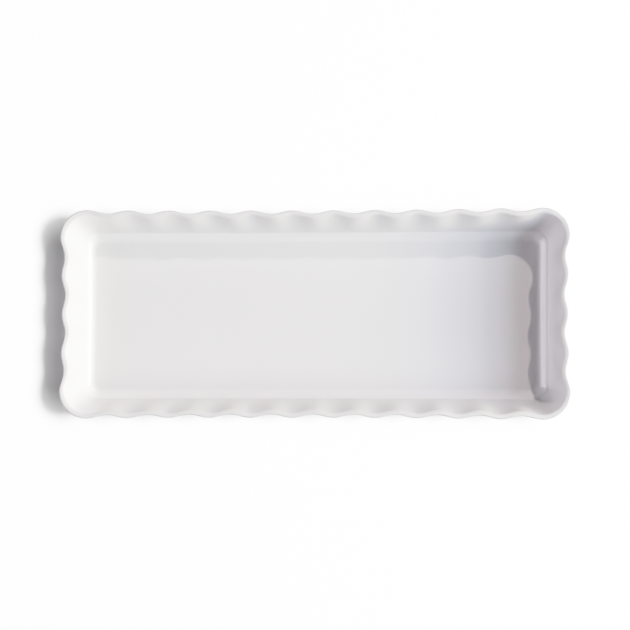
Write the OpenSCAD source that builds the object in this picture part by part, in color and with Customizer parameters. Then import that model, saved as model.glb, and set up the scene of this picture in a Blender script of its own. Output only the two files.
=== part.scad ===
// Slim rectangular tart pan of glazed stoneware, with a scalloped rim and fluted walls.
// The origin is the centre of the plane the foot stands on, X runs along the pan and Z is up.

/* [Overall] */
// Overall length, across the two end rims at the corners
length = 360; // [300:5:420]
// Overall width, across the two long rims at the corners
width = 148; // [120:2:180]
// Height of the rim above the table
height = 36; // [32:1:48]
// Radius of the rim's outer corners
corner_r = 19.4; // [14:0.2:24]
// How far the middle of each end wall draws in between its corners
end_bow = 1.4; // [0:0.1:2]
// How far the middle of each long wall draws in between its corners
side_bow = 1; // [0:0.1:2]

/* [Flutes] */
// Flutes along each long wall
long_flutes = 11; // [7:1:14]
// Flutes along each end wall
end_flutes = 4; // [2:1:6]
// Depth of a flute at the rim, from the top of a scallop to the bottom of a hollow
flute_depth = 2.5; // [0:0.1:3]

/* [Wall] */
// Radius of the lip, which is the rim's tight outer edge
lip_r = 0.9; // [0.8:0.1:1.5]
// Width of the level top between the lip and the brow
rim_flat = 1.5; // [1:0.1:2.5]
// Radius of the brow, where the rim rolls over into the pan
brow_r = 1.8; // [1.5:0.1:2.5]
// Height of the crease where the flutes end and the plain band begins
crease_z = 10.4; // [9.4:0.2:13]
// Distance of the crease in from the outermost line of the rim
crease_in = 14.6; // [14:0.1:15.4]
// Distance of the lower end of the plain band in from the outermost line
band_in = 17.7; // [17.4:0.1:18.4]
// Height of the lower end of the plain band
band_z = 7.6; // [7.2:0.1:8]
// Height of the pan's floor above the table
floor_z = 6; // [5.4:0.1:6.4]
// Distance of the floor's edge in from the outermost line
floor_in = 21.7; // [21:0.1:23]
// Radius of the floor's corners
floor_corner_r = 4.6; // [3:0.1:8]

/* [Heel and foot] */
// Distance of the outer heel in from the outermost line
heel_in = 13.4; // [12.8:0.1:14]
// Height of the outer heel, where the wall turns under
heel_z = 4.4; // [4:0.1:5]
// Height of the foot ring, which is the gap under the base
foot_h = 1.2; // [0.8:0.1:1.6]
// Width of the foot ring's flat underside
foot_w = 4; // [3:0.5:6]
// Distance of the foot ring's outer edge in from the outermost line
foot_in = 17; // [16.8:0.1:18]

/* [Glaze] */
// Thickness of the glaze on the inside, the rim and the outer walls
glaze_t = 0.4; // [0.3:0.05:0.5]
// Thickness of the glaze under the base
base_glaze_t = 0.3; // [0.2:0.05:0.4]
// Bare clay left between the foot ring and the glaze under the base
bare_gap = 1.6; // [1:0.1:3]
// Height of the line where the outer glaze stops
glaze_line_z = 2.6; // [2.4:0.1:3]

/* [Hidden] */
// Facets along one flute, and round one corner
flute_steps = 6;
corner_steps = 6;
// Degrees that one facet of the lip and of the brow turns
lip_step = 45;
brow_step = 30;
glaze_line_in = 15.4;
base_in = 16.4;
// Share of the flute depth left at mid height of the wall
mid_flute = 0.55;
// Bevel on both edges of the foot ring, and how far the ring is rooted in the base
foot_bevel = 0.4;
foot_root = 1;

// Radius of the outline's corners at distance u in from the outermost line
function outline_r(u) = corner_r + (floor_corner_r - corner_r) * u / floor_in;

function midway(a, b, flute) = [(a[0] + b[0]) / 2, (a[1] + b[1]) / 2, flute];

// A point of the rim, on a round edge of radius r whose centre is at distance u in
function rim_point(u, r, a) = [u + r * cos(a), height - r + r * sin(a), 1];

// Section through the glazed surface as [distance in, height, share of the flute depth],
// from the glaze line up the outer wall, over the rim and down to the edge of the floor
heel = [heel_in, heel_z, 0];
rim = concat(
    [for (a = [180 : -lip_step : 90]) rim_point(lip_r, lip_r, a)],
    [for (a = [90 : -brow_step : brow_step]) rim_point(lip_r + rim_flat, brow_r, a)]
);
crease = [crease_in, crease_z, 0];
fillet = [band_in + 0.42 * (floor_in - band_in), floor_z + 0.24 * (band_z - floor_z), 0];
glazed = concat(
    [[glaze_line_in, glaze_line_z, 0], heel, midway(heel, rim[0], mid_flute)],
    rim,
    [midway(rim[len(rim) - 1], crease, mid_flute), crease],
    [[band_in, band_z, 0], fillet, [floor_in, floor_z, 0]]
);

// The same section sunk by the glaze's thickness, which is where glaze and clay meet
function unit(v) = v / norm(v);
function run_at(k) =
    let (last = len(glazed) - 1)
    k == last ? [1, 0] : unit([
        glazed[k + 1][0] - glazed[max(k - 1, 0)][0],
        glazed[k + 1][1] - glazed[max(k - 1, 0)][1]
    ]);
clay = [for (k = [0 : len(glazed) - 1])
    let (run = run_at(k))
    [glazed[k][0] + glaze_t * run[1], glazed[k][1] - glaze_t * run[0], glazed[k][2]]];

function reversed(list) = [for (k = [len(list) - 1 : -1 : 0]) list[k]];

// One wall of an outline as [across, along] points, from its scallop at one corner to the other
function wall(across, half_run, flutes, bow, z, flute) =
    let (steps = flutes * flute_steps)
    [for (j = [0 : steps - 1])
        let (s = 2 * j / steps - 1)
        let (hollow = flute * flute_depth * (1 - cos(360 * j / flute_steps)) / 2)
        let (drawn_in = bow * z / height * (1 - s * s))
        [across - hollow - drawn_in, half_run * s]];

function corner(x, y, r, start) =
    [for (j = [0 : corner_steps - 1])
        let (a = start + 90 * j / corner_steps)
        [x + r * cos(a), y + r * sin(a)]];

// The closed outline at one row of the section, anticlockwise from above
function outline(row) =
    let (u = row[0], z = row[1], flute = row[2], r = outline_r(u))
    let (x = length / 2 - u, y = width / 2 - u)
    let (end = wall(x, y - r, end_flutes, end_bow, z, flute))
    let (side = wall(y, x - r, long_flutes, side_bow, z, flute))
    let (half = concat(
        end,
        corner(x - r, y - r, r, 0),
        [for (p = side) [-p[1], p[0]]],
        corner(r - x, y - r, r, 90)
    ))
    concat([for (p = half) [p[0], p[1], z]], [for (p = half) [-p[0], -p[1], z]]);

// A plain rounded rectangle at distance u in and height z, anticlockwise from above
function plain_outline(u, z) =
    let (r = outline_r(u), x = length / 2 - u - r, y = width / 2 - u - r)
    [for (quarter = [0 : 3], j = [0 : corner_steps])
        let (a = 90 * quarter + 90 * j / corner_steps)
        let (sx = quarter == 0 || quarter == 3 ? x : -x, sy = quarter < 2 ? y : -y)
        [sx + r * cos(a), sy + r * sin(a), z]];

function flattened(list) = [for (inner = list) each inner];

// Triangles between outline a and outline b, which have n points each
function strip(a, b, n) =
    [for (i = [0 : n - 1])
        let (j = (i + 1) % n)
        each [[a * n + i, b * n + i, a * n + j], [a * n + j, b * n + i, b * n + j]]];

// A closed skin through all the outlines, with a flat end at the first and the last
module skin(outlines) {
    n = len(outlines[0]);
    last = len(outlines) - 1;
    tip = len(outlines) * n;
    ends = [[0, 0, outlines[0][0][2]], [0, 0, outlines[last][0][2]]];
    first_end = [for (i = [0 : n - 1]) [tip, i, (i + 1) % n]];
    last_end = [for (i = [0 : n - 1]) [tip + 1, last * n + (i + 1) % n, last * n + i]];
    strips = [for (k = [0 : last - 1]) each strip(k, k + 1, n)];
    polyhedron(concat(flattened(outlines), ends), concat(first_end, strips, last_end));
}

// A closed ring whose section has one corner for each outline
module ring(outlines) {
    n = len(outlines[0]);
    count = len(outlines);
    strips = [for (k = [0 : count - 1]) each strip(k, (k + 1) % count, n)];
    polyhedron(flattened(outlines), strips);
}

// The ring of bare clay that the pan stands on
module foot_ring() {
    outer = foot_in + foot_bevel;
    inner = outer + foot_w;
    top = foot_h + foot_root;
    ring([
        plain_outline(inner + foot_bevel, top),
        plain_outline(inner + foot_bevel, foot_bevel),
        plain_outline(inner, 0),
        plain_outline(outer, 0),
        plain_outline(foot_in, foot_bevel),
        plain_outline(foot_in, top)
    ]);
}

// The fired clay: floor, fluted walls and bare foot ring in one piece
module stoneware_body() {
    color("tan")
        union() {
            skin([for (row = concat([[base_in, foot_h, 0]], clay)) outline(row)]);
            foot_ring();
        }
}

// The glass skin over the inside, the rim and the outer walls down to the glaze line
module glaze_coat() {
    color("white")
        skin([for (row = concat(reversed(clay), glazed)) outline(row)]);
}

// The glazed panel under the base, inside the foot ring
module base_glaze() {
    edge_in = foot_in + foot_w + 2 * foot_bevel + bare_gap;
    color("white")
        translate([0, 0, foot_h - base_glaze_t])
            linear_extrude(base_glaze_t)
                polygon([for (p = plain_outline(edge_in, 0)) [p[0], p[1]]]);
}

stoneware_body();
glaze_coat();
base_glaze();
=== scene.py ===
"""A slim rectangular tart pan of white glazed stoneware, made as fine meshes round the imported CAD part.

The frame is the CAD frame: metres, X along the pan, Z up, and the origin at the centre of the plane that
the foot stands on. Names that end in _MM are millimetres, and the sections are worked out in millimetres.
"""

import math

import bpy
import numpy as np
from mathutils import Matrix, Vector, noise


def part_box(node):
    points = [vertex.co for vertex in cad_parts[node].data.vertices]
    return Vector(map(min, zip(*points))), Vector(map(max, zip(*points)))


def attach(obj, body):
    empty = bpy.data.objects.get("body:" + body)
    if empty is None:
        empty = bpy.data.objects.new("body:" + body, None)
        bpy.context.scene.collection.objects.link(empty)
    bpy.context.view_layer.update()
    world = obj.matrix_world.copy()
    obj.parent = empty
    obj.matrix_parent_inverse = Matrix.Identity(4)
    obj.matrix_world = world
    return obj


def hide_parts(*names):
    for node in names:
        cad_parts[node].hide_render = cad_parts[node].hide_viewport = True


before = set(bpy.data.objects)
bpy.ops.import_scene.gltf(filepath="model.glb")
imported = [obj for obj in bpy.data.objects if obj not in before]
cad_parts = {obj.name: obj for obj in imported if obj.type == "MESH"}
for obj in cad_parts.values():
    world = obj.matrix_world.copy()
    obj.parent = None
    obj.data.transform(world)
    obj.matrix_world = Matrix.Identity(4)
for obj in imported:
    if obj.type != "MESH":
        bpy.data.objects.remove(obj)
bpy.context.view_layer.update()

MM = 0.001
ROOT = "root"

# The outline, from the CAD box, and how it is rounded and drawn in
COAT_LOW, COAT_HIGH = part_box("glaze_coat")
HALF_LENGTH_MM = COAT_HIGH[0] / MM
HALF_WIDTH_MM = COAT_HIGH[1] / MM
RIM_TOP_MM = COAT_HIGH[2] / MM
CORNER_R_MM = 19.4
FLOOR_CORNER_R_MM = 4.6
END_BOW_MM = 1.4
SIDE_BOW_MM = 1.0

# Flutes, as in the CAD part
LONG_FLUTES = 11
END_FLUTES = 4
FLUTE_DEPTH_MM = 2.5
FLUTE_STEPS = 16
CORNER_STEPS = 18

# Rim: a tight lip, then a top that falls towards the inside by so many degrees, then the rounder brow
LIP_R_MM = 0.9
RIM_FLAT_MM = 1.4
RIM_SLOPE = 10.0
BROW_R_MM = 1.8

# Section of the wall: each point is its distance in from the outermost line, then its height
CREASE_MM = (14.6, 10.4)
CREASE_R_MM = 0.9
FLOOR_BEND_MM = (19.4, 6.0)
FLOOR_BEND_R_MM = 6.0
FLOOR_IN_MM = 22.6
HEEL_MM = (13.4, 4.4)
HEEL_R_MM = 3.0
GLAZE_LINE_MM = (15.4, COAT_LOW[2] / MM)
GLAZE_T_MM = 0.4

# Distance in at which the painted light on the plain band, drawn as paler, thicker glaze, has run out
BAND_END_MM = 22.0

# Rings of faces between the middle of a flat part and its edge
FLOOR_RINGS = 12

# The press left the floor a little off-centre: how far along X, and over what width of the band
FLOOR_SHIFT_MM = -1.4
SHIFT_WIDTH_MM = 1.5

# Foot ring and base
FOOT_IN_MM = 17.0
FOOT_W_MM = 4.8
FOOT_EDGE_R_MM = 0.5
BASE_Z_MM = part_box("base_glaze")[1][2] / MM
BASE_IN_MM = 16.4


# ---------------------------------------------------------------- section of the wall

def line(start, end, step=1.8):
    """Points from start up to, but not including, end."""
    start, end = np.array(start, float), np.array(end, float)
    count = max(1, round(float(np.linalg.norm(end - start)) / step))
    return [start + (end - start) * k / count for k in range(count)]


def arc(centre, radius, first, last, step=11.0):
    """Points on a circle from angle first to angle last in degrees, both included."""
    count = max(2, math.ceil(abs(last - first) / step))
    angles = np.radians(np.linspace(first, last, count + 1))
    return [np.array([centre[0] + radius * math.cos(a), centre[1] + radius * math.sin(a)]) for a in angles]


def bend(before, corner, after, radius):
    """The arc that rounds a corner between two straight runs."""
    before, corner, after = (np.array(p[:2], float) for p in (before, corner, after))
    back = (before - corner) / np.linalg.norm(before - corner)
    ahead = (after - corner) / np.linalg.norm(after - corner)
    half = math.acos(float(np.clip(back @ ahead, -1, 1))) / 2
    middle = (back + ahead) / np.linalg.norm(back + ahead)
    centre = corner + middle * radius / math.sin(half)
    ends = [corner + way * radius / math.tan(half) for way in (back, ahead)]
    first, last = (math.degrees(math.atan2(*(p - centre)[::-1])) for p in ends)
    last += 360 * round((first - last) / 360)
    return arc(centre, radius, first, last, 9.0)


def tangent_angle(centre, radius, point, side):
    """Where on a circle the line from an outside point touches it, in degrees. side is 1 or -1."""
    way = np.array(point, float) - np.array(centre, float)
    lean = math.acos(radius / float(np.linalg.norm(way)))
    return math.degrees(math.atan2(way[1], way[0]) + side * lean)


def fade(height, foot, top):
    """Share of the full flute depth at a height: none at the foot of the flutes and all of it at the top."""
    t = np.clip((height - foot) / (top - foot), 0, 1)
    return t * (1.2 - 0.2 * t)


def glazed_section():
    """Rows of (distance in, height, flute share, is inside, shift share) over the whole glazed surface.

    The rim is a tight lip on the outside, a nearly level top and a brow that rolls over into the pan.
    """
    lean = math.radians(RIM_SLOPE)
    lip_at = np.array([LIP_R_MM, RIM_TOP_MM - LIP_R_MM])
    brow_at = lip_at + (LIP_R_MM - BROW_R_MM) * np.array([math.sin(lean), math.cos(lean)])
    brow_at += RIM_FLAT_MM * np.array([math.cos(lean), -math.sin(lean)])
    level = 90 - RIM_SLOPE
    lip = arc(lip_at, LIP_R_MM, tangent_angle(lip_at, LIP_R_MM, HEEL_MM, -1) % 360, level)
    brow = arc(brow_at, BROW_R_MM, level, tangent_angle(brow_at, BROW_R_MM, CREASE_MM, 1), 8.0)
    heel = bend(GLAZE_LINE_MM, HEEL_MM, lip[0], HEEL_R_MM)
    crease = bend(brow[-1], CREASE_MM, FLOOR_BEND_MM, CREASE_R_MM)
    floor_bend = bend(CREASE_MM, FLOOR_BEND_MM, (FLOOR_IN_MM + 5, FLOOR_BEND_MM[1]), FLOOR_BEND_R_MM)
    outside = line(GLAZE_LINE_MM, heel[0], 0.8) + heel + line(heel[-1], lip[0])[1:] + lip
    inside = line(lip[-1], brow[0], 0.5)[1:] + brow + line(brow[-1], crease[0])[1:] + crease
    inside += line(crease[-1], floor_bend[0], 0.9)[1:] + floor_bend
    inside += line(floor_bend[-1], (FLOOR_IN_MM + 1.5, FLOOR_BEND_MM[1]), 1.0)[1:]
    rows = [(u, z, fade(z, HEEL_MM[1], lip_at[1]), 0.0, 0.0) for u, z in outside]
    for u, z in inside:
        shift = float(np.clip((u - CREASE_MM[0]) / SHIFT_WIDTH_MM, 0, 1))
        rows.append((u, z, fade(z, CREASE_MM[1], lip_at[1]), 1.0, shift))
    return np.array(rows)


def sunk(rows, depth):
    """The same rows sunk by depth along their own normals."""
    run = np.gradient(rows[:, :2], axis=0)
    run[-1] = (1.0, 0.0)
    run /= np.linalg.norm(run, axis=1)[:, None]
    lower = rows.copy()
    lower[:, 0] += depth * run[:, 1]
    lower[:, 1] -= depth * run[:, 0]
    return lower


# ---------------------------------------------------------------- outline of the pan

def outline_r(u):
    """Radius of the outline's corners at distance u in."""
    return max(CORNER_R_MM + (FLOOR_CORNER_R_MM - CORNER_R_MM) * u / (FLOOR_IN_MM - 0.6), 1.0)


def wall(across, half_run, flutes, bow, z, share):
    """One wall as (across, along, hollow share) rows, from its scallop at one corner to the other."""
    steps = flutes * FLUTE_STEPS
    j = np.arange(steps)
    s = 2 * j / steps - 1
    hollow = (1 - np.cos(2 * math.pi * j / FLUTE_STEPS)) / 2
    drawn_in = bow * z / RIM_TOP_MM * (1 - s * s)
    return np.stack([across - share * FLUTE_DEPTH_MM * hollow - drawn_in, half_run * s, hollow], axis=1)


def corner(x, y, r, start):
    a = np.radians(start + 90 * np.arange(CORNER_STEPS) / CORNER_STEPS)
    return np.stack([x + r * np.cos(a), y + r * np.sin(a), np.zeros(CORNER_STEPS)], axis=1)


def outline(u, z, share=0.0):
    """The closed outline at distance u in and height z, anticlockwise from above, as (x, y, hollow share)."""
    r = outline_r(u)
    x, y = HALF_LENGTH_MM - u, HALF_WIDTH_MM - u
    end = wall(x, y - r, END_FLUTES, END_BOW_MM, z, share)
    side = wall(y, x - r, LONG_FLUTES, SIDE_BOW_MM, z, share)[:, [1, 0, 2]] * (-1, 1, 1)
    half = np.concatenate([end, corner(x - r, y - r, r, 0), side, corner(r - x, y - r, r, 90)])
    return np.concatenate([half, half * (-1, -1, 1)])


# ---------------------------------------------------------------- unevenness of a pressed and fired dish

def drift(x, y, z, seed, scale):
    """Smooth unevenness from 0 to 1 that repeats on every run."""
    at = Vector((x / scale + seed, y / scale - seed, z / scale + 0.37 * seed))
    return 0.5 + 0.5 * max(-1.0, min(1.0, noise.noise(at) * 1.6))


def fired(points):
    """Draws points in and down a little, as firing does, and never out of the CAD box."""
    moved = points.copy()
    for p in moved:
        x, y, z = p
        lift = min(1.0, max(0.0, (z - 2.0) / 6.0))
        p[0] = x * (1 - lift * 0.0011 * drift(x, y, z, 3.1, 70.0))
        p[1] = y * (1 - lift * 0.0022 * drift(x, y, z, 8.4, 64.0))
        p[2] = z - lift * 0.30 * drift(x, y, 0.0, 5.7, 85.0) * (z / RIM_TOP_MM) ** 0.5
    return moved


# ---------------------------------------------------------------- meshes

def ring_rows(rows):
    """Outlines for a run of section rows, as points and the flute hollows beside them."""
    rings = [(outline(u, z, share) + (FLOOR_SHIFT_MM * shift, 0, 0), z) for u, z, share, _, shift in rows]
    points = [np.column_stack([ring[:, :2], np.full(len(ring), z)]) for ring, z in rings]
    return points, [ring[:, 2] for ring, z in rings]


def flat_rings(edge, count):
    """Rings that shrink from an outline's edge towards its middle, without the edge itself."""
    shares = [1 - k / count for k in range(1, count)]
    return [np.column_stack([edge[:, :2] * share, edge[:, 2]]) for share in shares]


def closed_skin(rings):
    """Vertices and faces through all the rings, closed by a fan at the first and the last."""
    n = len(rings[0])
    ends = [np.array([[0, 0, ring[:, 2].mean()]]) for ring in (rings[0], rings[-1])]
    verts = np.concatenate(rings + ends)
    i = np.arange(n)
    j = (i + 1) % n
    faces = []
    for k in range(len(rings) - 1):
        a, b = k * n, (k + 1) * n
        faces += np.stack([a + i, a + j, b + j, b + i], axis=1).tolist()
    first, last, tip = 0, (len(rings) - 1) * n, len(rings) * n
    faces += np.stack([np.full(n, tip), first + j, first + i], axis=1).tolist()
    faces += np.stack([np.full(n, tip + 1), last + i, last + j], axis=1).tolist()
    return verts, faces


def new_piece(name, verts_mm, faces, material, node, attributes=None):
    mesh = bpy.data.meshes.new(name)
    mesh.from_pydata((verts_mm * MM).tolist(), [], faces)
    mesh.update()
    mesh.polygons.foreach_set("use_smooth", [True] * len(mesh.polygons))
    for key, values in (attributes or {}).items():
        layer = mesh.attributes.new(key, "FLOAT", "POINT")
        layer.data.foreach_set("value", np.asarray(values, np.float32))
    mesh.materials.append(material)
    piece = bpy.data.objects.new(name, mesh)
    bpy.context.scene.collection.objects.link(piece)
    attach(piece, ROOT)
    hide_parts(node)
    return piece


def make_glaze_coat(material):
    """The skin of glaze, with where it runs thin and where it pools kept as attributes for its material; the
    pooling one also holds painted light that makes the whole plain band round the floor paler.
    """
    glazed = glazed_section()
    clay = sunk(glazed, GLAZE_T_MM)[::-1]
    under, _ = ring_rows(clay)
    over, hollows = ring_rows(glazed)
    under = flat_rings(under[0], FLOOR_RINGS)[::-1] + under
    floor = flat_rings(over[-1], FLOOR_RINGS)
    rings = under + over + floor
    verts, faces = closed_skin(rings)

    n = len(over[0])
    run = np.gradient(glazed[:, :2], axis=0)
    heading = np.unwrap(np.arctan2(run[:, 1], run[:, 0]))
    turn = -np.gradient(heading) / np.maximum(np.linalg.norm(run, axis=1), 1e-6)
    inside = glazed[:, 3]
    thin, pooled_glaze_and_painted_light = np.zeros(len(verts)), np.zeros(len(verts))
    start = len(under) * n
    for k, hollow in enumerate(hollows):
        u = glazed[k, 0]
        ridge = hollow if inside[k] else 1 - hollow
        rows = slice(start + k * n, start + (k + 1) * n)
        thin[rows] = np.clip(max(turn[k], 0) * LIP_R_MM * 0.8 + 0.45 * glazed[k, 2] * ridge ** 3, 0, 1)
        # The whole plain band is painted light: it is made paler as if more light fell on it. The flute
        # hollows hold a little glaze that really pools.
        painted_light_on_band = min(1, max(0, u - CREASE_MM[0] + 0.6)) * min(1, max(0, (BAND_END_MM - u) / 2)) * inside[k]
        pooled_glaze_and_painted_light[rows] = np.clip(painted_light_on_band + 0.25 * glazed[k, 2] * (1 - ridge) ** 3, 0, 1)
    return new_piece("glaze_coat_skin", fired(verts), faces, material, "glaze_coat",
                     {"thin": thin, "pooled_glaze_and_painted_light": pooled_glaze_and_painted_light})


def make_stoneware(material):
    """The clay under the glaze and its foot ring, with the toasted line and the ground face as attributes."""
    clay = sunk(glazed_section(), GLAZE_T_MM)
    outer, inner = FOOT_IN_MM, FOOT_IN_MM + FOOT_W_MM
    r = FOOT_EDGE_R_MM
    foot = line((inner + 0.7, BASE_Z_MM), (inner, r), 0.6)
    foot += arc((inner - r, r), r, 0, -90, 22.0)
    foot += line((inner - r, 0), (outer + r, 0), 1.2)[1:]
    foot += arc((outer + r, r), r, 270, 180, 22.0)
    foot += line((outer, r), (BASE_IN_MM, BASE_Z_MM), 0.6)[1:]
    foot += line((BASE_IN_MM, BASE_Z_MM), clay[0, :2], 0.5)
    foot_rows = np.array([(u, z, 0.0, 0.0, 0.0) for u, z in foot])
    body, _ = ring_rows(np.concatenate([foot_rows, clay]))
    base = flat_rings(body[0], FLOOR_RINGS)[::-1]
    floor = flat_rings(body[-1], FLOOR_RINGS)
    verts, faces = closed_skin(base + body + floor)

    n = len(body[0])
    toast, worn = np.zeros(len(verts)), np.zeros(len(verts))
    for k, (u, z) in enumerate(foot):
        rows = slice((len(base) + k) * n, (len(base) + k + 1) * n)
        toast[rows] = min(1.0, z / GLAZE_LINE_MM[1]) if u < outer + 0.1 else 0.0
        worn[rows] = 1.0 if z < 0.15 else 0.0
    return new_piece("stoneware_clay", fired(verts), faces, material, "stoneware_body",
                     {"toast": toast, "worn": worn})


def make_base_glaze(material):
    """The glazed panel under the base, with a rounded and slightly uneven edge."""
    low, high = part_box("base_glaze")
    edge_in = HALF_LENGTH_MM - high[0] / MM
    bottom, top = low[2] / MM, high[2] / MM
    thick = top - bottom
    rows = [(edge_in + 0.1, top), (edge_in + 0.05, top - 0.3 * thick), (edge_in + 0.4, bottom + 0.15 * thick),
            (edge_in + 1.2, bottom + 0.02), (edge_in + 3.0, bottom)]
    rings, _ = ring_rows(np.array([(u, z, 0.0, 0.0, 0.0) for u, z in rows]))
    upper = flat_rings(rings[0], FLOOR_RINGS)[::-1]
    lower = flat_rings(rings[-1], FLOOR_RINGS)
    verts, faces = closed_skin((upper + rings + lower)[::-1])
    return new_piece("base_glaze_panel", verts, faces, material, "base_glaze")


# ---------------------------------------------------------------- materials

class Nodes:
    """A short way to wire a material's nodes."""

    def __init__(self, material):
        self.tree = material.node_tree
        self.tree.nodes.clear()

    def add(self, kind, settings=None, **inputs):
        node = self.tree.nodes.new(kind)
        for key, value in (settings or {}).items():
            setattr(node, key, value)
        for key, value in inputs.items():
            self.feed(node, key.replace("_", " "), value)
        return node

    def feed(self, node, key, value):
        socket = node.inputs[int(key) if key.isdigit() else key]
        if isinstance(value, bpy.types.NodeSocket):
            self.tree.links.new(value, socket)
        else:
            socket.default_value = value

    def math(self, operation, a, b=0.0, clamp=False):
        node = self.add("ShaderNodeMath", {"operation": operation, "use_clamp": clamp})
        self.feed(node, "0", a)
        self.feed(node, "1", b)
        return node.outputs[0]

    def noise(self, where, scale, detail=3.0, roughness=0.5):
        node = self.add("ShaderNodeTexNoise", Vector=where, Scale=scale, Detail=detail, Roughness=roughness)
        return node.outputs["Fac"]

    def attribute(self, name):
        return self.add("ShaderNodeAttribute", {"attribute_name": name}).outputs["Fac"]

    def ramp(self, value, low, high, to_low=0.0, to_high=1.0):
        node = self.add("ShaderNodeMapRange")
        for key, number in zip(("Value", "From Min", "From Max", "To Min", "To Max"),
                               (value, low, high, to_low, to_high)):
            self.feed(node, key, number)
        return node.outputs[0]

    def mix(self, share, first, second):
        node = self.add("ShaderNodeMix", {"data_type": "RGBA"})
        for index, value in ((0, share), (6, first), (7, second)):
            if isinstance(value, bpy.types.NodeSocket):
                self.tree.links.new(value, node.inputs[index])
            else:
                node.inputs[index].default_value = value
        return node.outputs[2]

    def bump(self, height, distance, strength=1.0, normal=None):
        node = self.add("ShaderNodeBump", Height=height, Distance=distance, Strength=strength)
        if normal is not None:
            self.feed(node, "Normal", normal)
        return node.outputs[0]


def new_material(name):
    material = bpy.data.materials.new(name)
    material.use_nodes = True
    return material, Nodes(material)


def finish_material(n, **inputs):
    shader = n.add("ShaderNodeBsdfPrincipled")
    for key, value in inputs.items():
        n.feed(shader, key.replace("_", " "), value)
    out = n.add("ShaderNodeOutputMaterial")
    n.tree.links.new(shader.outputs[0], out.inputs[0])


def specks(n, where, scale, share, radius):
    """Sparse round dots: 1 inside a dot. share is how many cells hold one."""
    cells = n.add("ShaderNodeTexVoronoi", {"voronoi_dimensions": "3D"}, Vector=where, Scale=scale)
    lottery = n.add("ShaderNodeSeparateColor", Color=cells.outputs["Color"])
    chosen = n.math("LESS_THAN", lottery.outputs[0], share)
    dot = n.ramp(cells.outputs["Distance"], radius, radius * 0.6)
    return n.math("MULTIPLY", dot, chosen)


def glaze_material(name, colour, roughness):
    """Opaque white glaze: tone drift, thinner on edges, milky where it pools, painted light that makes the
    plain band paler, orange peel and specks.
    """
    material, n = new_material(name)
    where = n.add("ShaderNodeTexCoord").outputs["Object"]
    clouds = n.noise(where, 9.0, 2.0)
    tone = n.mix(n.ramp(clouds, 0.35, 0.65), colour, [c * 0.985 for c in colour[:3]] + [1])
    thin = n.attribute("thin")
    patchy = n.ramp(n.noise(where, 160.0, 2.0), 0.3, 0.7, 0.6, 1.0)
    tone = n.mix(n.math("MULTIPLY", n.math("MULTIPLY", thin, patchy), 0.5), tone, (0.60, 0.56, 0.53, 1))
    # Paler where the glaze pools in the flute hollows, and painted light over the plain band round the floor
    tone = n.mix(n.math("MULTIPLY", n.attribute("pooled_glaze_and_painted_light"), 0.9), tone, (0.86, 0.85, 0.86, 1))
    iron = specks(n, where, 95.0, 0.02, 0.032)
    tone = n.mix(n.math("MULTIPLY", iron, 0.75), tone, (0.30, 0.24, 0.19, 1))
    pits = specks(n, where, 260.0, 0.012, 0.05)
    peel = n.noise(where, 230.0, 2.0, 0.45)
    waves = n.noise(where, 28.0, 1.0)
    slow = n.bump(waves, 0.00012)
    fine = n.bump(peel, 0.000012, normal=slow)
    pitted = n.bump(n.math("SUBTRACT", 1.0, pits), 0.00008, normal=fine)
    rough = n.ramp(n.noise(where, 45.0, 3.0), 0.3, 0.7, roughness * 0.85, roughness * 1.25)
    rough = n.math("ADD", rough, n.math("MULTIPLY", pits, 0.3))
    finish_material(n, Base_Color=tone, Roughness=rough, IOR=1.5, Normal=pitted,
                    Coat_Weight=0.25, Coat_Roughness=0.06)
    return material


def clay_material():
    """Bare buff stoneware: grog grains, a toasted line by the glaze and a ground, paler standing face."""
    material, n = new_material("bare_buff_stoneware")
    where = n.add("ShaderNodeTexCoord").outputs["Object"]
    cloud = n.ramp(n.noise(where, 40.0, 4.0), 0.3, 0.7)
    tone = n.mix(cloud, (0.66, 0.545, 0.42, 1), (0.74, 0.635, 0.51, 1))
    grain = n.ramp(n.noise(where, 1500.0, 2.0, 0.7), 0.42, 0.62)
    tone = n.mix(n.math("MULTIPLY", grain, 0.28), tone, (0.83, 0.75, 0.64, 1))
    tone = n.mix(n.math("MULTIPLY", specks(n, where, 700.0, 0.10, 0.24), 0.6), tone, (0.36, 0.26, 0.18, 1))
    tone = n.mix(n.math("MULTIPLY", n.attribute("toast"), 0.45), tone, (0.55, 0.37, 0.23, 1))
    tone = n.mix(n.math("MULTIPLY", n.attribute("worn"), 0.4), tone, (0.80, 0.74, 0.66, 1))
    tooth = n.bump(n.noise(where, 1100.0, 4.0, 0.65), 0.00006)
    rough = n.ramp(n.noise(where, 300.0, 2.0), 0.3, 0.7, 0.78, 0.95)
    finish_material(n, Base_Color=tone, Roughness=rough, Normal=tooth, IOR=1.45)
    return material


def stage_material():
    material, n = new_material("studio_white")
    where = n.add("ShaderNodeTexCoord").outputs["Object"]
    tone = n.mix(n.noise(where, 3.0), (0.93, 0.93, 0.93, 1), (0.95, 0.95, 0.95, 1))
    finish_material(n, Base_Color=tone, Roughness=0.9)
    return material


# ---------------------------------------------------------------- studio

STAGE_SIZE = 6.0


def make_stage():
    """A pale floor under the pan. It takes shadows, and throws no light back on to the pan."""
    mesh = bpy.data.meshes.new("studio_floor")
    h = STAGE_SIZE / 2
    mesh.from_pydata([(-h, -h, 0), (h, -h, 0), (h, h, 0), (-h, h, 0)], [], [(0, 1, 2, 3)])
    mesh.materials.append(stage_material())
    floor = bpy.data.objects.new("studio_floor", mesh)
    bpy.context.scene.collection.objects.link(floor)
    floor.visible_diffuse = False
    floor.visible_glossy = False
    return floor


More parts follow.
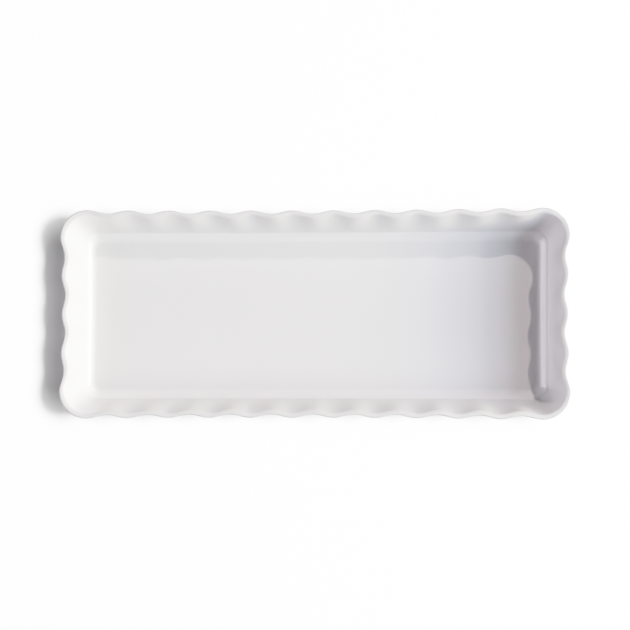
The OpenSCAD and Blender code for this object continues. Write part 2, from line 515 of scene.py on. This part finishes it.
def softbox(name, azimuth, elevation, distance, size, power, colour):
    """An area light that faces the pan. Azimuth is from +X towards +Y, and both angles are in degrees."""
    a, e = math.radians(azimuth), math.radians(elevation)
    way = Vector((math.cos(a) * math.cos(e), math.sin(a) * math.cos(e), math.sin(e)))
    light = bpy.data.lights.new(name, "AREA")
    light.shape = "RECTANGLE"
    light.size, light.size_y = size
    light.energy = power
    light.color = colour
    lamp = bpy.data.objects.new(name, light)
    lamp.location = way * distance
    lamp.rotation_mode = "QUATERNION"
    lamp.rotation_quaternion = way.to_track_quat("Z", "Y")
    bpy.context.scene.collection.objects.link(lamp)
    return lamp


def lit_only(lights, name, objects):
    """Keeps the lights to the given objects."""
    lit = bpy.data.collections.new(name)
    for thing in objects:
        lit.objects.link(thing)
    for lamp in lights:
        lamp.light_linking.receiver_collection = lit


def make_lights(pieces, floor):
    """A tall window of three panels at the right, a far lamp behind it, and a pale reflector at the left.

    The floor has lights of its own, so that it stays white while the pan keeps its shading. After its name
    each light has its azimuth, elevation, distance in metres, size in metres, power in watts and colour.
    """
    lit_only([
        softbox("window_low", -4, 14.5, 2.6, (1.5, 0.41), 128, (1.0, 0.91, 0.62)),
        softbox("window_middle", -3, 23, 2.6, (1.6, 0.46), 98, (0.93, 0.93, 1.0)),
        softbox("window_high", -10, 34, 2.6, (3.0, 0.64), 90, (0.76, 0.86, 1.0)),
        softbox("back_right_lamp", 49.8, 38.8, 8.0, (0.20, 0.20), 400, (1.0, 0.87, 0.85)),
        softbox("left_reflector", 188, 25, 1.3, (1.0, 0.8), 17.0, (0.98, 0.91, 1.0))
    ], "lit_by_the_room", pieces)
    lit_only([
        softbox("floor_key", -2, 59.0, 2.0, (0.5, 0.40), 150, (1.0, 1.0, 1.0)),
        softbox("floor_wide", 0, 59.0, 2.0, (2.2, 0.44), 90, (1.0, 1.0, 1.0)),
        softbox("floor_overhead", 0, 70, 2.0, (1.0, 0.5), 16, (1.0, 1.0, 1.0)),
        softbox("floor_fill", 180, 50, 2.0, (1.0, 1.0), 8, (1.0, 1.0, 1.0))
    ], "lit_floor", [floor])


def make_world():
    """Faint light from above, and from below the light that a pale table would throw back.

    The table is bright towards the horizon and dim straight below, where the pan shades it.
    """
    world = bpy.data.worlds.new("studio")
    bpy.context.scene.world = world
    world.use_nodes = True
    n = Nodes(world)
    way = n.add("ShaderNodeTexCoord").outputs["Generated"]
    height = n.add("ShaderNodeSeparateXYZ", Vector=way).outputs["Z"]
    table = n.mix(n.ramp(height, -1.0, -0.1), (0.10, 0.10, 0.105, 1), (0.58, 0.58, 0.58, 1))
    sky = n.mix(n.ramp(height, -0.02, 0.02), table, (0.02, 0.02, 0.02, 1))
    background = n.add("ShaderNodeBackground", Color=sky, Strength=1.0)
    out = n.add("ShaderNodeOutputWorld")
    n.tree.links.new(background.outputs[0], out.inputs[0])


# The brightness that the view shows as full white, and the points that draw its curve
SHOULDER_WHITE = 6.0
SHOULDER_POINTS = 14


def make_shoulder():
    """Rolls the highlights off softly, as film does, so that bright glaze keeps its form."""
    view = bpy.context.scene.view_settings
    view.view_transform = "Standard"
    view.use_curve_mapping = True
    view.curve_mapping.white_level = [SHOULDER_WHITE] * 3
    curve = view.curve_mapping.curves[3]
    top = 1 - math.exp(-SHOULDER_WHITE)
    for k in range(1, SHOULDER_POINTS):
        at = (k / SHOULDER_POINTS) ** 2
        curve.points.new(at, (1 - math.exp(-SHOULDER_WHITE * at)) / top)
    view.curve_mapping.update()


# The camera stands nearly over the pan, a little to its right and front, and looks at the rim's middle
CAMERA_AT = Vector((0.1306, -0.0665, 1.5))
CAMERA_AIM = Vector((0.0015, -0.0008, 0.0335))
CAMERA_ROLL = math.radians(-0.155)
CAMERA_LENS_MM = 120.0


def make_camera():
    data = bpy.data.cameras.new("camera")
    data.lens = CAMERA_LENS_MM
    data.sensor_width = 36
    data.clip_start, data.clip_end = 0.05, 20
    camera = bpy.data.objects.new("camera", data)
    ahead = (CAMERA_AIM - CAMERA_AT).normalized()
    right = ahead.cross(Vector((math.sin(CAMERA_ROLL), math.cos(CAMERA_ROLL), 0))).normalized()
    up = right.cross(ahead)
    turn = Matrix((right, up, -ahead)).transposed()
    camera.matrix_world = Matrix.Translation(CAMERA_AT) @ turn.to_4x4()
    bpy.context.scene.collection.objects.link(camera)
    bpy.context.scene.camera = camera


make_camera()
pan = [
    make_glaze_coat(glaze_material("white_gloss_glaze", (0.75, 0.745, 0.745, 1), 0.16)),
    make_stoneware(clay_material()),
    make_base_glaze(glaze_material("white_satin_glaze", (0.79, 0.785, 0.775, 1), 0.28))
]
make_lights(pan, make_stage())
make_world()
make_shoulder()
